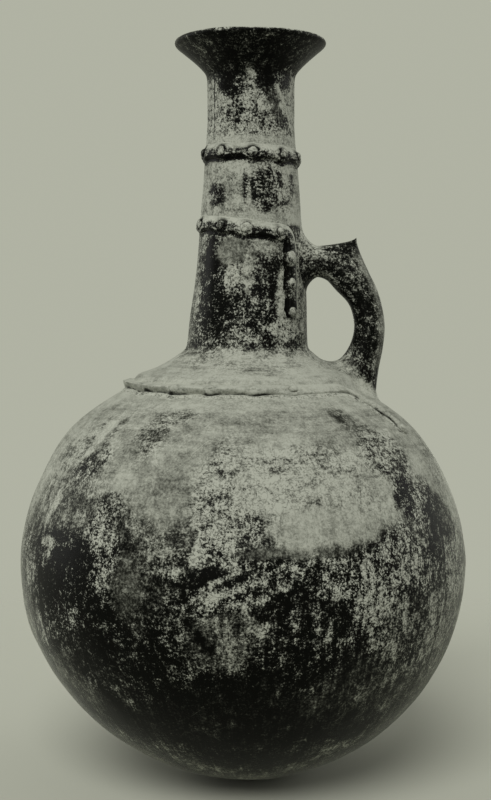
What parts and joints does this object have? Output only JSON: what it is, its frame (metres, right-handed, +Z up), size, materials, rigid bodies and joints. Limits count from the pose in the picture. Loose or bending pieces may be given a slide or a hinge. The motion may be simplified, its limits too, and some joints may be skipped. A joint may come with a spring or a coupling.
{
  "type": "jug",
  "caption": "Round-bottomed burnished earthenware jug with tall neck, flared mouth, spurred handle and applied cordons with pellets; rests in a ring stand.",
  "frame": {"origin": "under the middle of the belly, at the level of the rounded tip of the base", "axes": "+Z up along the neck, +X towards the handle, -Y is the front of the jug"},
  "size_m": [0.274, 0.274, 0.454],
  "materials": {
    "burnished_slip": "hand-burnished near-black slip over earthenware, worn and crusted to pale grey-green in patches, satin",
    "handle_slip": "near-black burnished slip with lengthwise burnishing strokes and pale specks, satin",
    "cordon_clay": "worn slip on raised clay strips, mostly pale grey-green, soft satin",
    "pellet_clay": "worn slip on raised clay buttons, pale crowns with dark surrounds, soft satin"
  },
  "bodies": {
    "root": {"base_bowl": "burnished_slip", "lower_wall": "burnished_slip", "lower_belly_wall": "burnished_slip", "upper_belly_wall": "burnished_slip", "shoulder_wall": "burnished_slip", "crown_wall": "burnished_slip", "neck_root_collar": "burnished_slip", "lower_neck_tube": "burnished_slip", "upper_neck_tube": "burnished_slip", "rim_funnel": "burnished_slip", "handle": "handle_slip", "thumb_spur": "handle_slip", "upper_neck_cordon": "cordon_clay", "lower_neck_cordon": "cordon_clay", "shoulder_cordon": "cordon_clay", "upper_neck_pellet_01": "pellet_clay", "upper_neck_pellet_02": "pellet_clay", "upper_neck_pellet_03": "pellet_clay", "upper_neck_pellet_04": "pellet_clay", "upper_neck_pellet_05": "pellet_clay", "upper_neck_pellet_06": "pellet_clay", "upper_neck_pellet_07": "pellet_clay", "upper_neck_pellet_08": "pellet_clay", "upper_neck_pellet_09": "pellet_clay", "upper_neck_pellet_10": "pellet_clay", "lower_neck_pellet_01": "pellet_clay", "lower_neck_pellet_02": "pellet_clay", "lower_neck_pellet_03": "pellet_clay", "lower_neck_pellet_04": "pellet_clay", "lower_neck_pellet_05": "pellet_clay", "lower_neck_pellet_06": "pellet_clay", "lower_neck_pellet_07": "pellet_clay", "lower_neck_pellet_08": "pellet_clay", "lower_neck_pellet_09": "pellet_clay", "lower_neck_pellet_10": "pellet_clay", "lower_neck_pellet_11": "pellet_clay", "lower_neck_pellet_12": "pellet_clay", "lower_neck_pellet_13": "pellet_clay", "lower_neck_pellet_14": "pellet_clay", "shoulder_pellet_01": "pellet_clay", "shoulder_pellet_02": "pellet_clay", "shoulder_pellet_03": "pellet_clay", "shoulder_pellet_04": "pellet_clay", "shoulder_pellet_05": "pellet_clay", "shoulder_pellet_06": "pellet_clay", "shoulder_pellet_07": "pellet_clay", "shoulder_pellet_08": "pellet_clay", "shoulder_pellet_09": "pellet_clay", "shoulder_pellet_10": "pellet_clay", "shoulder_pellet_11": "pellet_clay", "shoulder_pellet_12": "pellet_clay", "shoulder_pellet_13": "pellet_clay", "shoulder_pellet_14": "pellet_clay", "shoulder_pellet_15": "pellet_clay", "shoulder_pellet_16": "pellet_clay"}
  },
  "joints": []
}
